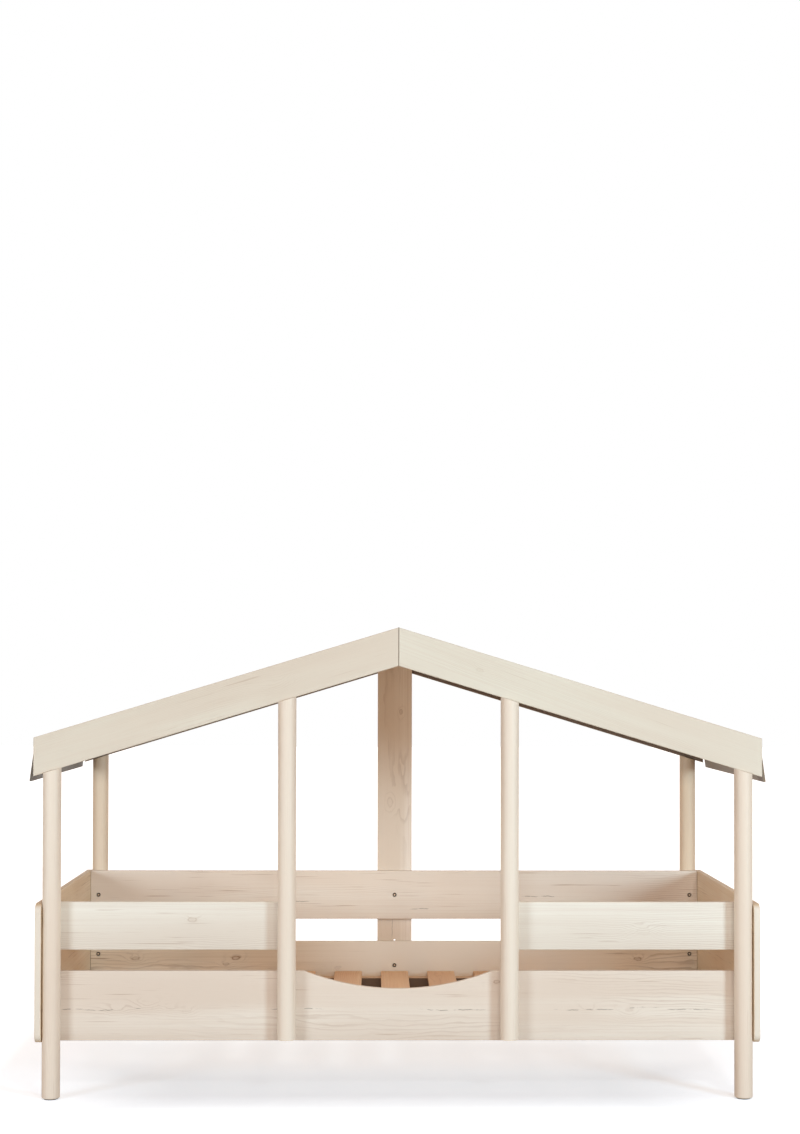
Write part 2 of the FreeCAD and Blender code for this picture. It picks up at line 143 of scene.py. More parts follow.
class Graph:
    """A short way to write the nodes of a material or world."""

    def __init__(self, owner):
        self.owner = owner
        owner.use_nodes = True
        self.tree = owner.node_tree
        self.tree.nodes.clear()

    def node(self, kind, **settings):
        made = self.tree.nodes.new(kind)
        for key, value in settings.items():
            setattr(made, key, value)
        return made

    def feed(self, socket, value):
        if isinstance(value, bpy.types.NodeSocket):
            self.tree.links.new(value, socket)
        else:
            socket.default_value = value

    def math(self, operation, a, b=0.0, c=0.0):
        made = self.node("ShaderNodeMath", operation=operation)
        for socket, value in zip(made.inputs, (a, b, c)):
            self.feed(socket, value)
        return made.outputs[0]

    def vector(self, operation, a, b=(0, 0, 0)):
        made = self.node("ShaderNodeVectorMath", operation=operation)
        self.feed(made.inputs[0], a)
        self.feed(made.inputs[1], b)
        return made.outputs["Value" if operation in ("LENGTH", "DOT_PRODUCT") else "Vector"]

    def apart(self, vector):
        """The three parts of a vector."""
        made = self.node("ShaderNodeSeparateXYZ")
        self.feed(made.inputs[0], vector)
        return made.outputs

    def noise(self, vector, scale, detail=2.0, roughness=0.5):
        made = self.node("ShaderNodeTexNoise")
        self.feed(made.inputs["Vector"], vector)
        made.inputs["Scale"].default_value = scale
        made.inputs["Detail"].default_value = detail
        made.inputs["Roughness"].default_value = roughness
        return made.outputs["Fac"]

    def stretch(self, value, low_in, high_in, low_out=0.0, high_out=1.0):
        made = self.node("ShaderNodeMapRange", interpolation_type="SMOOTHSTEP")
        for socket, number in zip(made.inputs, (value, low_in, high_in, low_out, high_out)):
            self.feed(socket, number)
        return made.outputs[0]

    def fade(self, value, full, none):
        """1 before full, 0 after none."""
        return self.stretch(value, full, none, 1.0, 0.0)

    def mix(self, amount, a, b):
        made = self.node("ShaderNodeMix", data_type="RGBA")
        self.feed(made.inputs["Factor"], amount)
        self.feed(made.inputs["A"], a)
        self.feed(made.inputs["B"], b)
        return made.outputs["Result"]

    def wear_and_glint_mark(self):
        """The mesh's own mark of its rounded arrises, which show wear, and of the sockets of
        bolts, which get a painted glint.
        """
        return self.node("ShaderNodeAttribute", attribute_name="wear_and_glint").outputs["Fac"]

    def seen(self):
        """1 for a ray that shows or mirrors something, 0 for one that only gathers light."""
        path = self.node("ShaderNodeLightPath")
        seen = self.math("MAXIMUM", path.outputs["Is Camera Ray"], path.outputs["Is Glossy Ray"])
        return self.math("MAXIMUM", seen, path.outputs["Is Transmission Ray"])

    def principled(self, base, roughness, height, strength, distance):
        """A Principled shader with a bump."""
        shader = self.node("ShaderNodeBsdfPrincipled")
        self.feed(shader.inputs["Base Color"], base)
        self.feed(shader.inputs["Roughness"], roughness)
        bump = self.node("ShaderNodeBump")
        bump.inputs["Strength"].default_value = strength
        bump.inputs["Distance"].default_value = distance
        self.feed(bump.inputs["Height"], height)
        self.feed(shader.inputs["Normal"], bump.outputs["Normal"])
        return shader

    def surface(self, output, kind="ShaderNodeOutputMaterial"):
        out = self.node(kind)
        self.tree.links.new(output, out.inputs["Surface"])
        return self.owner


# ---------------------------------------------------------------- wood

class Noise:
    """A noise of the wood: its cycles per metre along and across the grain.

    Its patches start at one value and are full at another.
    """

    def __init__(self, along, across, detail=2.0, roughness=0.5, start=0.0, full=1.0):
        self.scales = (along, across, across)
        self.detail, self.roughness = detail, roughness
        self.start, self.full = start, full


TONES = Noise(0.8, 7.0, start=0.32, full=0.68)
BANDS = Noise(0.7, 38.0, 2.0, 0.55, 0.38, 0.68)
STREAKS = Noise(2.0, 210.0, 2.0, 0.6, 0.42, 0.68)
PORES = Noise(26.0, 820.0, 2.0, 0.6, 0.60, 0.74)
CHECKS = Noise(4.5, 230.0, start=0.64, full=0.72)
CHECK_ZONES = Noise(3.0, 26.0, 1.0, start=0.46, full=0.58)
RING_ZONES = Noise(1.6, 8.0, start=0.46, full=0.66)
RING_SWAY = Noise(0.9, 3.5, 1.0)
RING_RIPPLE = Noise(5.0, 24.0, 3.0)
CRACK_WOBBLE = Noise(11.0, 3.0, 4.0, 0.65)
CRACK_BREAKS = Noise(46.0, 6.0, 3.0, start=0.40, full=0.60)

# How much of each shows in the colour
BAND_SHARE = 0.35
STREAK_SHARE = 0.52
LATE_SHARE = 0.27
PORE_SHARE = 0.10
CHECK_SHARE = 0.50
CRACK_SHARE = 0.60
KNOT_SHARE = 0.8
WEAR_SHARE = 0.35
WEAR_PALER = (1.06, 1.05, 1.03)

# Seeds shift the noises along X, Y and Z, so that no two boards have the same grain
SEED_SHIFT = (3.71, 1.37, 2.11)
SLAT_SEED = 11.0
SLAT_SEED_STEP = 1.3
NODE_SEED = 21.0
NODE_SEED_STEP = 1.7

# Growth rings: metres, and the part of a ring where the late wood sets in and ends
HEART_AWAY = 0.10            # from the middle of the bed to the heart, across the grain
HEART_SPREAD = (0.04, 0.07)  # how far seeds move it
HEART_SEEDS = (5.0, 3.0)
SWAY_BY = 0.045
RIPPLE_BY = 0.016
RINGS_PER_METRE = 235.0
LATE_FROM = (0.50, 0.90)
LATE_TO = (0.92, 1.0)

# Knots, in sizes of the knot from its middle
KNOT_ALONG = 0.52            # a knot is drawn out along the grain
KNOT_RAGGED = 0.9
KNOT_BEND = 0.9              # how far the rings swing round it
KNOT_BEND_FALL = -0.4
KNOT_FIGURE = 0.85
KNOT_RIM_FROM = (0.36, 0.52)
KNOT_RIM_TO = (0.52, 0.74)
KNOT_CORE = (0.0, 0.6, 0.45, 0.25)     # shade 0.45 at its middle, 0.25 from 0.6 on
KNOT_EDGE = (0.6, 0.9)

# Cracks and seams: metres
CRACK_WOBBLE_BY = 0.018
SEAM_HALF = 0.0014
SEAM_SOLID = 0.6             # the part of a seam that is as dark as it gets
SEAM_SHARE = 0.85

# Lacquer
WOOD_ROUGH = 0.48
STREAK_ROUGH = 0.14
PORE_ROUGH = 0.12
STREAK_RELIEF = 0.35
PORE_RELIEF = 0.5
WOOD_BUMP = (0.22, 0.0004)
LACQUER_IOR = 1.45

# Colours: a wood has a pale and a dark tone, and one of late wood and pores
# the colour of cracks, and of the painted shade along joints
CRACK_AND_SEAM_SHADE = colour(104, 80, 64)
SHADE = colour(74, 50, 32)
BOARD = (colour(231, 222, 209), colour(219, 203, 187), colour(168, 136, 112))
UPPER = (colour(233, 228, 216), colour(221, 210, 196), colour(168, 138, 114))
# painted shade: the back lower rail's colours, the boards' colours darkened
BACK_RAIL_SHADED = (colour(222, 205, 184), colour(204, 182, 156), colour(132, 96, 70))
CENTER = (colour(231, 217, 202), colour(216, 198, 179), colour(150, 116, 90))
ROOF = (colour(219, 213, 197), colour(211, 197, 180), colour(170, 144, 120))
POST = (colour(233, 222, 206), colour(228, 211, 193), colour(198, 170, 146))
# painted shade: the back posts' colours, darker and warmer than the front posts'
POST_BACK_SHADED = (colour(231, 214, 191), colour(221, 199, 172), colour(190, 158, 130))
# painted shade: the end panels' colours, darkened for their shaded inner faces
PANEL_SHADED = (colour(225, 206, 179), colour(207, 182, 149), colour(152, 118, 88))
PLY = (colour(226, 210, 186), colour(212, 192, 164), colour(168, 136, 104))
EAVE_SHADE = {"eave_board_left": colour(60, 52, 40), "eave_board_right": colour(106, 86, 62)}
SLAT = (colour(243, 205, 165), colour(231, 187, 147), colour(186, 132, 90))
LEDGER = (colour(232, 204, 176), colour(214, 184, 154), colour(160, 120, 90))
DOWEL = (colour(214, 188, 150), colour(196, 168, 130), colour(150, 120, 86))


class Wood(Graph):
    """The parts of a wood's graph, at the place and in the direction of its grain."""

    def __init__(self, name, along, seed):
        super().__init__(bpy.data.materials.new(name))
        self.seed = seed
        self.place = self.node("ShaderNodeTexCoord").outputs["Object"]
        self.facing = self.node("ShaderNodeNewGeometry").outputs["True Normal"]
        self.to_grain = Vector(along).rotation_difference(Vector(ALONG_X)).to_euler()
        self.own = self.vector("ADD", self.turned(self.place), tuple(seed * v for v in SEED_SHIFT))

    def turned(self, vector):
        made = self.node("ShaderNodeVectorRotate", rotation_type="EULER_XYZ")
        made.inputs["Rotation"].default_value = self.to_grain
        self.feed(made.inputs["Vector"], vector)
        return made.outputs["Vector"]

    def grain(self, noise):
        stretched = self.vector("MULTIPLY", self.own, noise.scales)
        return self.noise(stretched, 1.0, noise.detail, noise.roughness)

    def patches(self, noise):
        return self.stretch(self.grain(noise), noise.start, noise.full)

    def ring_radius(self):
        """Distance from a wavering heart that lies beside the board."""
        aside = HEART_AWAY + HEART_SPREAD[0] * math.sin(self.seed * HEART_SEEDS[0])
        below = HEART_SPREAD[1] * math.cos(self.seed * HEART_SEEDS[1])
        heart = self.vector("MULTIPLY", self.turned(self.place), (0, 1, 1))
        radius = self.vector("LENGTH", self.vector("ADD", heart, (0, aside, below)))
        radius = self.math("MULTIPLY_ADD", self.grain(RING_SWAY), SWAY_BY, radius)
        return self.math("MULTIPLY_ADD", self.grain(RING_RIPPLE), RIPPLE_BY, radius)

    def knot(self, spot, size, darkness):
        """How much a knot swings the rings aside, and its own shade."""
        offset = self.turned(self.vector("SUBTRACT", self.place, spot))
        sizes = (KNOT_ALONG / size, 1.0 / size, 1.0 / size)
        away = self.vector("LENGTH", self.vector("MULTIPLY", offset, sizes))
        ragged = self.grain(Noise(0.5 / size, 1.0 / size))
        away = self.math("SUBTRACT", away, KNOT_RAGGED / 2)
        away = self.math("MAXIMUM", self.math("MULTIPLY_ADD", ragged, KNOT_RAGGED, away), 0.0)
        fall = self.math("MULTIPLY", self.math("MULTIPLY", away, away), KNOT_BEND_FALL)
        rim = self.math("MULTIPLY", self.stretch(away, *KNOT_RIM_FROM),
                        self.fade(away, *KNOT_RIM_TO))
        core = self.math("MAXIMUM", rim, self.stretch(away, *KNOT_CORE))
        strength = self.math("MULTIPLY", self.fade(away, *KNOT_EDGE), darkness)
        return self.math("EXPONENT", fall), self.math("MULTIPLY", core, strength)

    def crack(self, spot, half_length, half_width):
        """A crack that wavers, breaks off here and there and thins towards its ends."""
        offset = self.apart(self.turned(self.vector("SUBTRACT", self.place, spot)))
        wobble = self.grain(CRACK_WOBBLE)
        wobble = self.math("MULTIPLY_ADD", wobble, CRACK_WOBBLE_BY, -CRACK_WOBBLE_BY / 2)
        aside = self.math("ABSOLUTE", self.math("SUBTRACT", offset[2], wobble))
        away = self.math("ABSOLUTE", offset[0])
        width = self.stretch(away, 0.5 * half_length, half_length, half_width, 0.0)
        return self.math("MULTIPLY", self.math("LESS_THAN", aside, width),
                         self.patches(CRACK_BREAKS))

    def layer(self, base, amount, share, tone):
        """The base with a share of another tone where an amount says so."""
        return self.mix(self.math("MULTIPLY", amount, share), base, tone)

    def tint(self, base, tone, strength, ramps):
        """Painted light and shade: the base with a tone of some strength where all ramps are full.
        """
        amount = strength
        for what, toward, full, none in ramps:
            measured = self.place if what == "place" else self.facing
            reach = self.vector("DOT_PRODUCT", measured, toward)
            ramp = self.stretch(reach, none, full) if full > none else self.fade(reach, full, none)
            amount = self.math("MULTIPLY", amount, ramp)
        return self.mix(amount, base, tone)


def wood(name, along, seed, palette, figure=1.0, knots=(), cracks=(), seams=(), painted_light_and_shade=()):
    """Lacquered light wood, its grain along a direction.

    A palette is (pale, dark, line), and figure is how strongly its tones show.
    A knot is (place, size, darkness), a crack is (place, half length, half width).
    Seams are the X of the dark lines of painted shade where this board meets another one.
    Painted light and shade is a list of (colour, strength, ramps). A ramp is ("place" or "normal",
    direction, full, none):
    how far along a direction, or how much turned to it, the painted light or shade is full and
    gone.
    """
    pale, dark, line = palette
    g = Wood(name, along, seed)
    radius = g.ring_radius()
    knot_shade = 0.0
    knot_zone = 0.0
    for spot, size, darkness in knots:
        swell, shade = g.knot(spot, size, darkness)
        radius = g.math("MULTIPLY_ADD", swell, KNOT_BEND * size, radius)
        knot_shade = g.math("MAXIMUM", knot_shade, shade)
        knot_zone = g.math("MAXIMUM", g.math("MULTIPLY", swell, KNOT_FIGURE), knot_zone)
    rings = g.math("FRACT", g.math("MULTIPLY", radius, RINGS_PER_METRE))
    late = g.math("MULTIPLY", g.stretch(rings, *LATE_FROM), g.fade(rings, *LATE_TO))
    late = g.math("MULTIPLY", late, g.math("MAXIMUM", g.patches(RING_ZONES), knot_zone))
    streaks = g.grain(STREAKS)
    pores = g.patches(PORES)
    checks = g.math("MULTIPLY", g.patches(CHECKS), g.patches(CHECK_ZONES))

    base = g.mix(g.patches(TONES), pale, dark)
    base = g.layer(base, g.patches(BANDS), BAND_SHARE * figure, dark)
    streaks_seen = g.stretch(streaks, STREAKS.start, STREAKS.full)
    base = g.layer(base, streaks_seen, STREAK_SHARE * figure, dark)
    base = g.layer(base, late, LATE_SHARE * figure, line)
    base = g.layer(base, pores, PORE_SHARE, line)
    base = g.layer(base, checks, CHECK_SHARE * figure, line)
    dents = checks
    for spot, half_length, half_width in cracks:
        crack = g.crack(spot, half_length, half_width)
        base = g.layer(base, crack, CRACK_SHARE, CRACK_AND_SEAM_SHADE)
        dents = g.math("MAXIMUM", dents, crack)
    if knots:
        base = g.layer(base, knot_shade, KNOT_SHARE, line)
    paler = tuple(v * more for v, more in zip(pale, WEAR_PALER)) + (1,)
    base = g.layer(base, g.wear_and_glint_mark(), WEAR_SHARE, paler)
    # painted shade along the joints with other boards
    for x in seams:
        beside = g.math("ABSOLUTE", g.math("SUBTRACT", g.apart(g.place)[0], x))
        seam = g.stretch(beside, SEAM_SOLID * SEAM_HALF, SEAM_HALF, SEAM_SHARE, 0.0)
        base = g.mix(seam, base, CRACK_AND_SEAM_SHADE)
    # painted light and shade over the wood's own colour
    for tone, strength, ramps in painted_light_and_shade:
        base = g.tint(base, tone, strength, ramps)

    rough = g.math("MULTIPLY_ADD", streaks, STREAK_ROUGH, WOOD_ROUGH)
    rough = g.math("MULTIPLY_ADD", pores, PORE_ROUGH, rough)
    relief = g.math("SUBTRACT", g.math("MULTIPLY", streaks, STREAK_RELIEF),
                    g.math("MULTIPLY", pores, PORE_RELIEF))
    shader = g.principled(base, rough, g.math("SUBTRACT", relief, dents), *WOOD_BUMP)
    shader.inputs["IOR"].default_value = LACQUER_IOR
    return g.surface(shader.outputs["BSDF"])


# ---------------------------------------------------------------- metal and plastic

def steel(name):
    """Zinc plated steel: satin, with turning marks and darker stains; very dark as painted shade
    round the recessed heads, and pale in the sockets as a painted glint.
    """
    g = Graph(bpy.data.materials.new(name))
    place = g.node("ShaderNodeTexCoord").outputs["Object"]
    stain = g.noise(place, scale=420.0, detail=3.0)
    marks = g.noise(g.vector("MULTIPLY", place, (1.0, 0.2, 1.0)), scale=2600.0)
    # the steel's dark tones are painted shade round the recessed heads
    base = g.mix(g.stretch(stain, 0.35, 0.7), colour(40, 32, 26), colour(24, 19, 15))
    # painted glint: the sockets pale
    base = g.mix(g.wear_and_glint_mark(), base, colour(206, 182, 156))
    rough = g.math("MULTIPLY_ADD", stain, 0.2, 0.42)
    shader = g.principled(base, rough, marks, strength=0.12, distance=0.0002)
    shader.inputs["Metallic"].default_value = 0.3
    return g.surface(shader.outputs["BSDF"])


def plastic(name):
    """Matt moulded plastic with a fine spark-eroded grain and scuffs."""
    g = Graph(bpy.data.materials.new(name))
    place = g.node("ShaderNodeTexCoord").outputs["Object"]
    grain = g.noise(place, scale=1500.0, detail=3.0)
    scuff = g.noise(place, scale=90.0, detail=4.0)
    base = g.mix(g.stretch(scuff, 0.45, 0.75), colour(66, 62, 58), colour(96, 90, 84))
    rough = g.math("MULTIPLY_ADD", scuff, 0.25, 0.5)
    shader = g.principled(base, rough, grain, strength=0.2, distance=0.0002)
    return g.surface(shader.outputs["BSDF"])


# ---------------------------------------------------------------- mesh pieces

def finish_piece(mesh_data, name, material, replaced, smooth_deg=SMOOTH_DEG):
    """Turns a bmesh into an object that rides on the bed and may stand for CAD nodes."""
    mesh = bpy.data.meshes.new(name)
    bmesh.ops.recalc_face_normals(mesh_data, faces=mesh_data.faces)
    for face in mesh_data.faces:
        face.smooth = True
    for edge in mesh_data.edges:
        if len(edge.link_faces) == 2 and edge.calc_face_angle(0) > math.radians(smooth_deg):
            edge.smooth = False
    mesh_data.to_mesh(mesh)
    mesh_data.free()
    piece = bpy.data.objects.new(name, mesh)
    bpy.context.scene.collection.objects.link(piece)
    mesh.materials.append(material)
    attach(piece, "root")
    if replaced:
        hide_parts(*replaced)


def inset(outline, distance):
    """The outline moved inwards by a distance, corner by corner. It runs counterclockwise."""
    moved = []
    for k, here in enumerate(outline):
        before = (here - outline[k - 1]).normalized()
        after = (outline[(k + 1) % len(outline)] - here).normalized()
        normal_a = Vector((-before.y, before.x))
        normal_b = Vector((-after.y, after.x))
        both = normal_a + normal_b
        moved.append(here + both * (2 * distance / both.length_squared))
    return moved


def arc(center, radius, start_deg, end_deg, steps):
    """Points along a circle, both ends included."""
    points = []
    for k in range(steps + 1):
        turn = math.radians(start_deg + (end_deg - start_deg) * k / steps)
        points.append(Vector((center[0] + radius * math.cos(turn),
                              center[1] + radius * math.sin(turn))))
    return points


def wall(mesh_data, first, second):
    """Faces between two rings of the same number of points."""
    for k in range(len(first)):
        j = (k + 1) % len(first)
        mesh_data.faces.new((first[k], first[j], second[j], second[k]))


def board(node, outline, axes, material, radius=ROUND_R, holes=()):
    """The board of a CAD node with rounded arrises: an outline raised along the third axis."""
    mesh_data = bmesh.new()
    wear_and_glint = mesh_data.verts.layers.float.new("wear_and_glint")
    near, far = low(node)[axes[2]], high(node)[axes[2]]
    rounding = []
    for k in range(ROUND_STEPS + 1):
        turn = math.pi / 2 * k / ROUND_STEPS
        rounding.append((radius * (1 - math.sin(turn)), radius * (1 - math.cos(turn))))
    levels = [(inward, near + rise) for inward, rise in rounding]
    levels += [(inward, far - rise) for inward, rise in reversed(rounding)]

    def ring_at(points, depth):
        ring = []
        for point in points:
            placed = [0.0, 0.0, 0.0]
            placed[axes[0]], placed[axes[1]], placed[axes[2]] = point.x, point.y, depth
            ring.append(mesh_data.verts.new(placed))
        return ring

    rims = [ring_at(inset(outline, inward), depth) for inward, depth in levels]
    for k, ring in enumerate(rims):
        if 0 < k % len(rounding) < ROUND_STEPS:
            for vert in ring:
                vert[wear_and_glint] = 1.0
    for lower, upper in zip(rims, rims[1:]):
        wall(mesh_data, lower, upper)
    loops = ([rims[0]], [rims[-1]])
    for center, hole_radius in holes:
        points = arc(center, hole_radius, 0, 360 - 360 / HOLE_SIDES, HOLE_SIDES - 1)
        ends = (ring_at(points, near), ring_at(points, far))
        wall(mesh_data, *ends)
        for side in (0, 1):
            loops[side].append(ends[side])
    for face_loops in loops:
        edges = []
        for loop in face_loops:
            for k in range(len(loop)):
                a, b = loop[k - 1], loop[k]
                edges.append(mesh_data.edges.get((a, b)) or mesh_data.edges.new((a, b)))
        bmesh.ops.triangle_fill(mesh_data, use_beauty=True, edges=edges)
    finish_piece(mesh_data, "look_" + node, material, [node])


def lathe(profile, spot, axis, mesh_data, steps):
    """Adds a turned form: (radius, height) points along an axis from a spot."""
    turn = Vector(ALONG_Z).rotation_difference(Vector(axis)).to_matrix().to_4x4()
    place = Matrix.Translation(Vector(spot)) @ turn
    rings = []
    for radius, height in profile:
        if radius == 0:
            rings.append([mesh_data.verts.new(place @ Vector((0, 0, height)))])
            continue
        ring = []
        for k in range(steps):
            angle = 2 * math.pi * k / steps
            point = Vector((radius * math.cos(angle), radius * math.sin(angle), height))
            ring.append(mesh_data.verts.new(place @ point))
        rings.append(ring)
    for first, second in zip(rings, rings[1:]):
        if len(first) > 1 and len(second) > 1:
            wall(mesh_data, first, second)
            continue
        for k in range(steps):
            j = (k + 1) % steps
            if len(first) == 1:
                mesh_data.faces.new((first[0], second[j], second[k]))
            else:
                mesh_data.faces.new((first[k], first[j], second[0]))


def islands(node):
    """Middle of each separate solid in a CAD node."""
    mesh_data = bmesh.new()
    mesh_data.from_mesh(nodes[node].data)
    bmesh.ops.remove_doubles(mesh_data, verts=mesh_data.verts, dist=1e-6)
    seen = set()
    found = []
    for vert in mesh_data.verts:
        if vert in seen:
            continue
        seen.add(vert)
        group, queue = [vert], [vert]
        while queue:
            for edge in queue.pop().link_edges:
                for other in edge.verts:
                    if other not in seen:
                        seen.add(other)
                        group.append(other)
                        queue.append(other)
        lows = Vector(min(v.co[i] for v in group) for i in range(3))
        highs = Vector(max(v.co[i] for v in group) for i in range(3))
        found.append((lows + highs) / 2)
    mesh_data.free()
    return found


rail_pins = islands("rail_bolts")
board_pins = islands("center_board_bolts")
panel_pins = islands("end_panel_bolts")


def pin_holes(pins, node, axes):
    """Holes of a board for the pins that cross it."""
    lows, highs = low(node), high(node)
    holes = []
    for pin in pins:
        inside = all(lows[a] < pin[a] < highs[a] for a in axes[:2])
        if inside and abs(pin[axes[2]] - (lows[axes[2]] + highs[axes[2]]) / 2) < PIN_REACH:
            holes.append(((pin[axes[0]], pin[axes[1]]), BOLT_HOLE_R))
    return holes


# ---------------------------------------------------------------- cracks and knots

# Cracks are (x, z, half length) and knots (x, z, size, darkness), metres on a board's front face
FRONT_CRACKS = ((-0.928, 0.2485, 0.036), (-0.835, 0.2465, 0.070), (-0.720, 0.2495, 0.034),
                (-0.290, 0.2505, 0.090), (0.161, 0.2480, 0.110), (0.540, 0.2465, 0.110),
                (0.690, 0.2515, 0.060), (0.830, 0.2480, 0.080))
FRONT_KNOTS = ((-0.604, 0.243, 0.011, 0.10), (-0.650, 0.252, 0.009, 0.05),
               (-0.715, 0.262, 0.012, 0.0), (-0.800, 0.246, 0.010, 0.0),
               (0.2816, 0.3267, 0.008, 0.9), (0.660, 0.238, 0.012, 0.06),
               (0.540, 0.250, 0.010, 0.0))
UPPER_KNOTS = {"left": ((-0.586, 0.504, 0.010, 0.5),), "right": ((0.700, 0.470, 0.016, 0.1),)}
BACK_HIGH_CRACKS = ((0.080, 0.428, 0.050), (-0.330, 0.452, 0.060), (0.480, 0.470, 0.070))
BACK_LOW_KNOTS = ((-0.1885, 0.2317, 0.009, 0.9), (-0.5255, 0.2640, 0.011, 1.0),
                  (-0.560, 0.2440, 0.008, 0.6), (0.8106, 0.2618, 0.010, 0.9),
                  (-0.860, 0.262, 0.010, 0.6), (0.310, 0.245, 0.008, 0.6))
CENTER_CRACKS = ((-0.0065, 0.360, 0.038),)
CENTER_KNOTS = ((0.0202, 1.0821, 0.008, 0.6), (-0.015, 0.78, 0.012, 0.15))
ROOF_KNOTS = {"roof_board_front_right": ((0.231, 1.2166, 0.009, 0.25),),
              "roof_board_front_left": ((-0.340, 1.1600, 0.024, 0.03),)}
CRACK_HALF = 0.0011          # half the width of a crack
FINE_CRACK_HALF = 0.0007

# Painted light and shade: how strong they are
MIDDLE_STRENGTH = 0.95       # painted light on the middle of the back lower rail
EDGE_STRENGTH = 0.8          # painted light on the front-facing edges of the end panels
DECK_STRENGTH = 0.88         # shade on the back roof boards, under the deck
POST_STRENGTH = 0.30         # shade on the back posts, under the roof
EAVE_STRENGTH = 0.9
LEDGER_STRENGTH = 0.9


def facing(direction, full=0.9, none=0.5):
    """The ramp of painted light or shade on the faces that look in a direction."""
    return ("normal", direction, full, none)


FACING_FRONT = facing((0, -1, 0))
FACING_FRONT_WIDE = facing((0, -1, 0), 0.3, -0.3)
FACING_DOWN = facing((0, 0, -1))
# painted light: the middle of the back lower rail, where light falls in through the entry
PAINTED_LIGHT_MIDDLE = [("place", ALONG_X, -0.02, -0.45), ("place", ALONG_X, 0.38, 0.85)]


def on_face(places, node):
    """Knots set on the front face of a board."""
    return [((x, low(node).y, z), size, darkness) for x, z, size, darkness in places]


def cracks_on(places, node, half_width=CRACK_HALF):
    """Cracks set on the front face of a board."""
    return [((x, low(node).y, z), half_length, half_width) for x, z, half_length in places]


# ---------------------------------------------------------------- rails and panels

def corners(node, axes):
    """A board's rectangle, counterclockwise from its lower left."""
    lows, highs = low(node), high(node)
    a, b = axes[:2]
    return [Vector((lows[a], lows[b])), Vector((highs[a], lows[b])),
            Vector((highs[a], highs[b])), Vector((lows[a], highs[b]))]


def straight_rail(node, material, round_end=False):
    """A rail with its bolt holes. Its end towards the middle of the bed can be rounded."""
    lows, highs = low(node), high(node)
    outline = corners(node, XZ)
    if round_end:
        inner = lows.x + RAIL_END_R if lows.x > 0 else highs.x - RAIL_END_R
        upper = (inner, highs.z - RAIL_END_R)
        lower = (inner, lows.z + RAIL_END_R)
        if lows.x > 0:
            outline = (arc(upper, RAIL_END_R, 90, 180, RAIL_END_STEPS)
                       + arc(lower, RAIL_END_R, 180, 270, RAIL_END_STEPS) + outline[1:3])
        else:
            outline = ([outline[3], outline[0]] + arc(lower, RAIL_END_R, -90, 0, RAIL_END_STEPS)
                       + arc(upper, RAIL_END_R, 0, 90, RAIL_END_STEPS))
    board(node, outline, XZ, material,
          holes=pin_holes(rail_pins, node, XZ) + pin_holes(board_pins, node, XZ))


def scooped_outline(node):
    """A rail with an arc cut into its top, its two corners rounded."""
    radius = (SCOOP_HALF ** 2 + SCOOP_DEPTH ** 2) / (2 * SCOOP_DEPTH)
    top = high(node).z
    center = (0.0, top - SCOOP_DEPTH + radius)
    # a corner's circle touches the top edge from below and the scoop from outside
    corner_z = top - SCOOP_CORNER_R
    corner_x = math.sqrt((radius + SCOOP_CORNER_R) ** 2 - (center[1] - corner_z) ** 2)
    lean = math.degrees(math.atan2(center[1] - corner_z, corner_x))
    points = corners(node, XZ)
    top_left = points.pop()
    points += arc((corner_x, corner_z), SCOOP_CORNER_R, 90, 180 - lean, SCOOP_CORNER_STEPS)
    points += arc(center, radius, -lean, -180 + lean, SCOOP_STEPS)[1:-1]
    points += arc((-corner_x, corner_z), SCOOP_CORNER_R, lean, 90, SCOOP_CORNER_STEPS)
    return points + [top_left]


def make_rails():
    """Four straight rails, and the front lower one with its scoop."""
    node = "back_lower_rail"
    ends = (low(node).x, high(node).x)
    # darker colours as painted shade, and painted light in the middle
    material = wood("wood_back_low", ALONG_X, 5.1, BACK_RAIL_SHADED, figure=1.4, seams=ends,
                    knots=on_face(BACK_LOW_KNOTS, node),
                    painted_light_and_shade=[(BOARD[0], MIDDLE_STRENGTH, PAINTED_LIGHT_MIDDLE)])
    straight_rail(node, material)
    node = "back_upper_rail"
    material = wood("wood_back_high", ALONG_X, 6.4, BOARD, figure=1.2, seams=ends,
                    cracks=cracks_on(BACK_HIGH_CRACKS, node))
    straight_rail(node, material)
    for side, seed in (("left", 2.3), ("right", 3.9)):
        node = "front_upper_rail_" + side
        material = wood("wood_front_" + side, ALONG_X, seed, UPPER,
                        knots=on_face(UPPER_KNOTS[side], node))
        straight_rail(node, material, round_end=True)
    node = "front_lower_rail"
    material = wood("wood_front_low", ALONG_X, 1.0, BOARD, knots=on_face(FRONT_KNOTS, node),
                    cracks=cracks_on(FRONT_CRACKS, node))
    board(node, scooped_outline(node), XZ, material, holes=pin_holes(rail_pins, node, XZ))


def make_end_panels():
    """Panels with round corners."""
    r = PANEL_CORNER_R
    for side, seed in (("left", 7.7), ("right", 8.2)):
        node = "end_panel_" + side
        lows, highs = low(node), high(node)
        outline = []
        for k, (y, z) in enumerate(((highs.y - r, lows.z + r), (highs.y - r, highs.z - r),
                                    (lows.y + r, highs.z - r), (lows.y + r, lows.z + r))):
            outline += arc((y, z), r, 90 * k - 90, 90 * k, PANEL_CORNER_STEPS)
        # the panel's colours carry painted shade, and its front-facing edges painted light
        material = wood("wood_panel_" + side, ALONG_Y, seed, PANEL_SHADED,
                        painted_light_and_shade=[(BOARD[0], EDGE_STRENGTH, [FACING_FRONT])])
        board(node, outline, YZ, material, holes=pin_holes(panel_pins, node, YZ))


def grain_of(node):
    """Direction of the longest edge of a CAD node."""
    mesh = nodes[node].data
    ends = [(mesh.vertices[e.vertices[0]].co, mesh.vertices[e.vertices[1]].co) for e in mesh.edges]
    first, second = max(ends, key=lambda pair: (pair[0] - pair[1]).length)
    step = (second - first).normalized()
    return step if step.x > 0 else -step


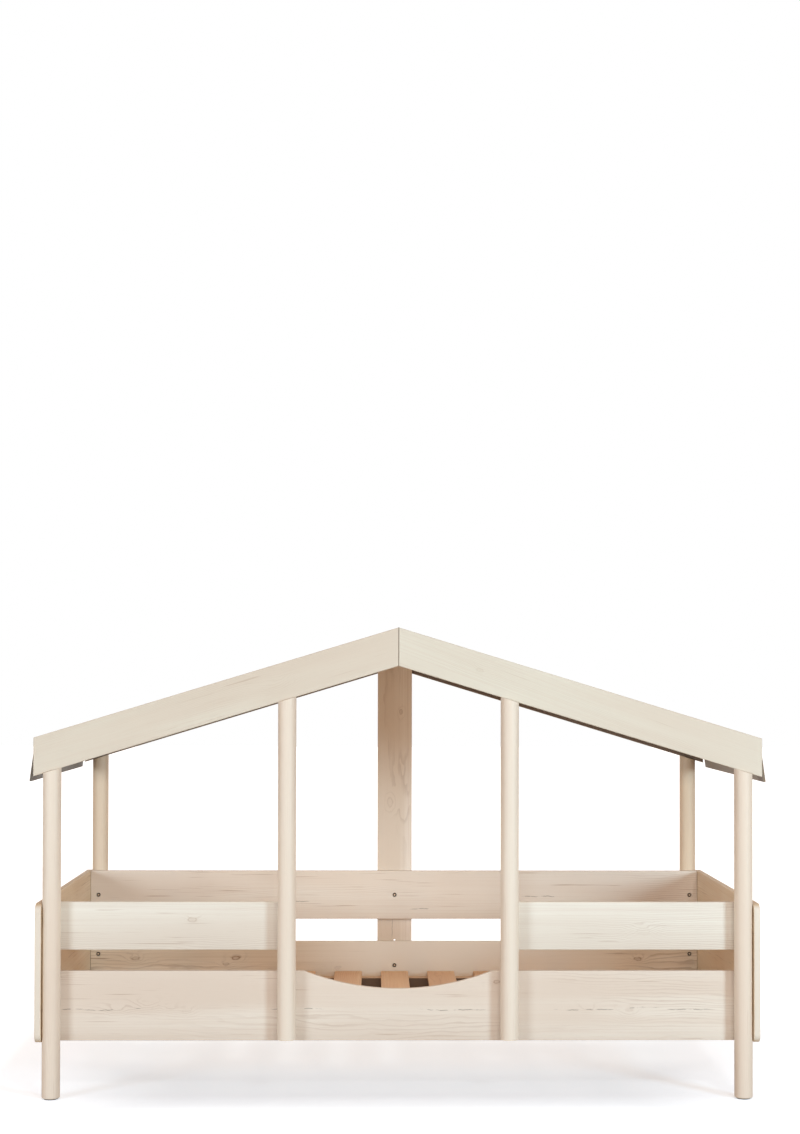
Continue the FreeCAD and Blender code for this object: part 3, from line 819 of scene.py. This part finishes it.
def make_center_board():
    """A board with a pointed top under the deck and one spare hole."""
    node = "center_board"
    lows, highs = low(node), high(node)
    slope = grain_of("roof_board_front_right")
    shoulder = highs.z - highs.x * abs(slope.z / slope.x)
    outline = [Vector((lows.x, lows.z)), Vector((highs.x, lows.z)), Vector((highs.x, shoulder)),
               Vector((0.0, highs.z)), Vector((lows.x, shoulder))]
    material = wood("wood_center", ALONG_Z, 9.6, CENTER, knots=on_face(CENTER_KNOTS, node),
                    cracks=cracks_on(CENTER_CRACKS, node, FINE_CRACK_HALF))
    spare = ((0.0, high("back_lower_rail").z + SPARE_HOLE_UP), SPARE_HOLE_R)
    board(node, outline, XZ, material, holes=[spare])


def make_slats():
    names = sorted(n for n in nodes if n.startswith("slat_") and "ledger" not in n)
    for k, node in enumerate(names):
        material = wood("wood_" + node, ALONG_Y, SLAT_SEED + SLAT_SEED_STEP * k, SLAT)
        board(node, corners(node, XY), XY, material, SLAT_R)


# ---------------------------------------------------------------- carried-over CAD nodes

DECK_SHADE_RAMP = 0.004      # metres over which the shade under the deck sets in
POST_SHADE = (0.03, 0.11)    # metres below the top, where the shade is full and gone
LEDGER_SHADE = (0.001, 0.0005)         # the same below the top of a ledger


def node_wood(node, seed):
    """The wood of a CAD node that shows as it is, or None."""
    name = "wood_" + node
    top = high(node).z
    at_back = "back" in node
    if node.startswith("roof_board_"):
        grain = grain_of(node)
        across = Vector((-grain.z, 0, grain.x))
        deck = nodes["roof_deck_" + node.split("_")[-1]].data.vertices
        deck_under = min(across.dot(v.co) for v in deck)
        under = ("place", tuple(across), deck_under, deck_under + DECK_SHADE_RAMP)
        shade = [(SHADE, DECK_STRENGTH, [FACING_FRONT, under])]
        return wood(name, grain, seed, ROOF, figure=0.7, seams=(0.0,),
                    knots=on_face(ROOF_KNOTS.get(node, ()), node),
                    painted_light_and_shade=shade if at_back else ())
    if node.startswith("post_") and node != "post_dowels":
        under = ("place", ALONG_Z, top - POST_SHADE[0], top - POST_SHADE[1])
        shade = [(SHADE, POST_STRENGTH, [under, FACING_FRONT_WIDE])]
        return wood(name, ALONG_Z, seed, POST_BACK_SHADED if at_back else POST, figure=0.5,
                    painted_light_and_shade=shade if at_back else ())
    if node.startswith("roof_deck"):
        return wood(name, ALONG_Y, seed, PLY)
    if node in EAVE_SHADE:
        inward = facing((-math.copysign(1, low(node).x), 0, 0))
        return wood(name, ALONG_Y, seed, BOARD,
                    painted_light_and_shade=[(EAVE_SHADE[node], EAVE_STRENGTH, [face])
                           for face in (inward, FACING_FRONT, FACING_DOWN)])
    if node.startswith("slat_ledger"):
        under = ("place", ALONG_Z, top - LEDGER_SHADE[0], top - LEDGER_SHADE[1])
        return wood(name, ALONG_X, seed, LEDGER,
                    painted_light_and_shade=[(SHADE, LEDGER_STRENGTH, [under, FACING_FRONT])])
    if node.endswith("dowels"):
        return wood(name, ALONG_Z, seed, DOWEL)
    return None


def dress_nodes():
    """Wood for the CAD nodes that no piece replaces."""
    for order, (node, thing) in enumerate(sorted(nodes.items())):
        material = node_wood(node, NODE_SEED + NODE_SEED_STEP * order)
        if material:
            thing.data.materials.clear()
            thing.data.materials.append(material)


# ---------------------------------------------------------------- bolts, glides and screws

def bolt_set(node, pins, axis, sign, material):
    """Button head bolts with a recess, at the pins of a CAD node along an axis.

    With sign 1 they point away from the middle of the bed, with -1 towards it.
    """
    near = [v.co[axis] for v in nodes[node].data.vertices if (v.co - pins[0]).length < PIN_REACH]
    half_length = (max(near) - min(near)) / 2
    profile = [(0, SOCKET_DEPTH), (SOCKET_R * 0.4, SOCKET_DEPTH), (SOCKET_R, SOCKET_DEPTH),
               (SOCKET_R, SOCKET_LIP)]
    profile += [(BOLT_HEAD_R * share, depth) for share, depth in BOLT_CROWN]
    profile += [(BOLT_HEAD_R, BOLT_HEAD_H), (BOLT_SHANK_R, BOLT_HEAD_H),
                (BOLT_SHANK_R, 2 * half_length), (0, 2 * half_length)]
    mesh_data = bmesh.new()
    wear_and_glint = mesh_data.verts.layers.float.new("wear_and_glint")
    for pin in pins:
        direction = Vector((0, 0, 0))
        direction[axis] = sign * math.copysign(1, pin[axis])
        head = pin - direction * half_length
        first = len(mesh_data.verts)
        lathe(profile, head, direction, mesh_data, BOLT_SIDES)
        mesh_data.verts.ensure_lookup_table()
        # the socket is marked for a painted glint
        for vert in mesh_data.verts[first:]:
            if (vert.co - head).length < 0.5 * BOLT_HEAD_R:
                vert[wear_and_glint] = 1.0
    finish_piece(mesh_data, "look_" + node, material, [node], METAL_SMOOTH_DEG)


def make_glides(material):
    """Turned discs under the corner posts, with a rounded lower edge."""
    mesh_data = bmesh.new()
    feet = islands("foot_glides")
    r = high("foot_glides").x - max(foot.x for foot in feet)
    top = high("foot_glides").z
    profile = [(0, 0)] + [(r - inward, up) for inward, up in GLIDE_EDGE] + [(r, top), (0, top)]
    for foot in feet:
        lathe(profile, (foot.x, foot.y, 0.0), ALONG_Z, mesh_data, GLIDE_SIDES)
    finish_piece(mesh_data, "look_foot_glides", material, ["foot_glides"])


def make_ledger_screws(material):
    """Small recessed heads in the inner faces of the ledgers."""
    profile = [(0, -SCREW_RECESS), (SOCKET_R * 0.7, -SCREW_RECESS), (SOCKET_R * 0.8, 0.0001),
               (SCREW_HEAD_R * 0.9, 0.0003), (SCREW_HEAD_R, 0.0),
               (SCREW_HEAD_R * 0.5, -SCREW_HEAD_H), (0, -SCREW_HEAD_H)]
    mesh_data = bmesh.new()
    for node in ("slat_ledger_front", "slat_ledger_back"):
        lows, highs = low(node), high(node)
        inward = 1 if lows.y < 0 else -1
        face = highs.y if inward > 0 else lows.y
        for k in range(SCREW_COUNT):
            x = lows.x + SCREW_END + (highs.x - lows.x - 2 * SCREW_END) * k / (SCREW_COUNT - 1)
            spot = (x, face, (lows.z + highs.z) / 2)
            lathe(profile, spot, (0, inward, 0), mesh_data, SCREW_SIDES)
    finish_piece(mesh_data, "look_ledger_screws", material, None, METAL_SMOOTH_DEG)


# ---------------------------------------------------------------- studio

FLOOR_SIZE = 60
FLOOR_SEEN = (0.77, 0.87, 0.97, 1)
FLOOR_BOUNCE = (0.46, 0.38, 0.29, 1)
FLOOR_GLOW = 0.37            # what the camera sees of the floor besides its light
REAR_GLOW = 0.57             # painted light: the same under the back of the bed and towards its ends, which makes the bed's shadow fainter there
END_GLOW = 0.56
REAR_RAMP = (-0.35, 0.15)    # Y where the rear's glow starts and is full
END_RAMP = (0.60, 1.05)      # X, to both sides, where the ends' glow starts and is full
WHITE_RAMP = (0.02, 0.36)    # outside the footprint, where the floor starts to fade and is white

AMBIENT = (0.386, 0.226, 0.157, 1)
AMBIENT_BEHIND = (1.35, 1.25, 1.15, 1)     # the half behind the bed, which the front never sees
BEHIND_RAMP = (0.35, 0.95)
WHITE = (1, 1, 1, 1)

# name, place, aim, size, watts, colour
LAMPS = (("key", (4.6, -5.6, 1.7), (0.0, -0.4, 0.7), (1.4, 1.4), 266, (0.61, 0.85, 1.0)),
         ("fill", (-4.8, -5.4, 1.6), (0.0, -0.2, 0.7), (2.0, 1.7), 200, (0.72, 0.89, 1.0)),
         ("high", (1.9, -6.2, 4.2), (0.0, -0.3, 0.3), (0.9, 0.9), 71, (0.98, 1.0, 0.96)),
         ("low", (0.4, -7.6, 1.1), (0.0, 0.0, 0.7), (2.2, 1.2), 41, (1.0, 0.95, 0.89)),
         ("inner", (0.0, -0.40, 0.95), (0.0, 0.40, 0.20), (1.7, 0.25), 2.1, (1.0, 0.90, 0.76)))


def make_floor():
    """A pale floor that keeps the shadows near the bed and is white further off; painted light
    makes the shadows fainter under the back and towards the ends of the bed.
    """
    g = Graph(bpy.data.materials.new("floor_white"))
    seen = g.seen()
    diffuse = g.node("ShaderNodeBsdfDiffuse")
    g.feed(diffuse.inputs["Color"], g.mix(seen, FLOOR_BOUNCE, FLOOR_SEEN))
    place = g.node("ShaderNodeTexCoord").outputs["Object"]
    outside = g.vector("SUBTRACT", g.vector("ABSOLUTE", place), (cad_box[1][0], cad_box[1][1], 0))
    away = g.vector("LENGTH", g.vector("MAXIMUM", outside, (0, 0, 0)))
    level = g.stretch(away, *WHITE_RAMP, FLOOR_GLOW, 1.0)
    split = g.apart(place)
    # painted light: a stronger glow under the back of the bed and towards its ends
    rear = g.stretch(split[1], *REAR_RAMP, FLOOR_GLOW, REAR_GLOW)
    ends = g.stretch(g.math("ABSOLUTE", split[0]), *END_RAMP, FLOOR_GLOW, END_GLOW)
    level = g.math("MAXIMUM", level, g.math("MAXIMUM", rear, ends))
    glow = g.node("ShaderNodeEmission")
    g.feed(glow.inputs["Strength"], g.math("MULTIPLY", seen, level))
    both = g.node("ShaderNodeAddShader")
    g.feed(both.inputs[0], diffuse.outputs["BSDF"])
    g.feed(both.inputs[1], glow.outputs["Emission"])
    material = g.surface(both.outputs["Shader"])
    bpy.ops.mesh.primitive_plane_add(size=FLOOR_SIZE, location=(0, 0, 0))
    floor = bpy.context.object
    floor.name = "floor"
    floor.data.materials.append(material)


def make_world():
    """Warm and dim before the bed, bright behind it, and white where it is seen or mirrored."""
    world = bpy.data.worlds.new("studio")
    bpy.context.scene.world = world
    g = Graph(world)
    toward = g.apart(g.node("ShaderNodeTexCoord").outputs["Generated"])
    sky = g.mix(g.stretch(toward[1], *BEHIND_RAMP), AMBIENT, AMBIENT_BEHIND)
    back = g.node("ShaderNodeBackground")
    g.feed(back.inputs["Color"], g.mix(g.seen(), sky, WHITE))
    g.surface(back.outputs["Background"], "ShaderNodeOutputWorld")


def softbox(name, at, aim, size, watts, tint):
    light = bpy.data.lights.new(name, "AREA")
    light.shape = "RECTANGLE"
    light.size, light.size_y = size
    light.energy = watts
    light.color = tint
    lamp = bpy.data.objects.new(name, light)
    lamp.location = at
    lamp.rotation_euler = (Vector(aim) - Vector(at)).to_track_quat("-Z", "Y").to_euler()
    bpy.context.scene.collection.objects.link(lamp)


def make_camera():
    """The photograph's camera. Its shift is the photograph's framing."""
    ahead = math.cos(CAMERA_PITCH)
    forward = Vector((math.sin(CAMERA_YAW) * ahead, math.cos(CAMERA_YAW) * ahead,
                      math.sin(CAMERA_PITCH)))
    level_right = Vector((math.cos(CAMERA_YAW), -math.sin(CAMERA_YAW), 0))
    level_up = level_right.cross(forward)
    right = math.cos(CAMERA_ROLL) * level_right + math.sin(CAMERA_ROLL) * level_up
    up = -math.sin(CAMERA_ROLL) * level_right + math.cos(CAMERA_ROLL) * level_up

    lens = bpy.data.cameras.new("camera")
    lens.sensor_fit = "VERTICAL"
    lens.sensor_height = SENSOR
    lens.lens = FOCAL_PX * SENSOR / PHOTO_H
    lens.shift_y = (PRINCIPAL_Y_PX - PHOTO_H / 2) / PHOTO_H
    lens.clip_end = CAMERA_REACH
    camera = bpy.data.objects.new("camera", lens)
    axes = Matrix((right, up, -forward)).transposed().to_4x4()
    camera.matrix_world = Matrix.Translation(Vector(CAMERA_AT)) @ axes
    bpy.context.scene.collection.objects.link(camera)
    bpy.context.scene.camera = camera


make_rails()
make_end_panels()
make_center_board()
make_slats()
dress_nodes()

metal = steel("zinc_steel")
bolt_set("rail_bolts", rail_pins, axis=1, sign=1, material=metal)
bolt_set("center_board_bolts", board_pins, axis=1, sign=1, material=metal)
bolt_set("end_panel_bolts", panel_pins, axis=0, sign=-1, material=metal)
make_glides(plastic("glide_plastic"))
make_ledger_screws(metal)

make_floor()
make_world()
for lamp in LAMPS:
    softbox(*lamp)
make_camera()
bpy.context.scene.view_settings.view_transform = "Standard"
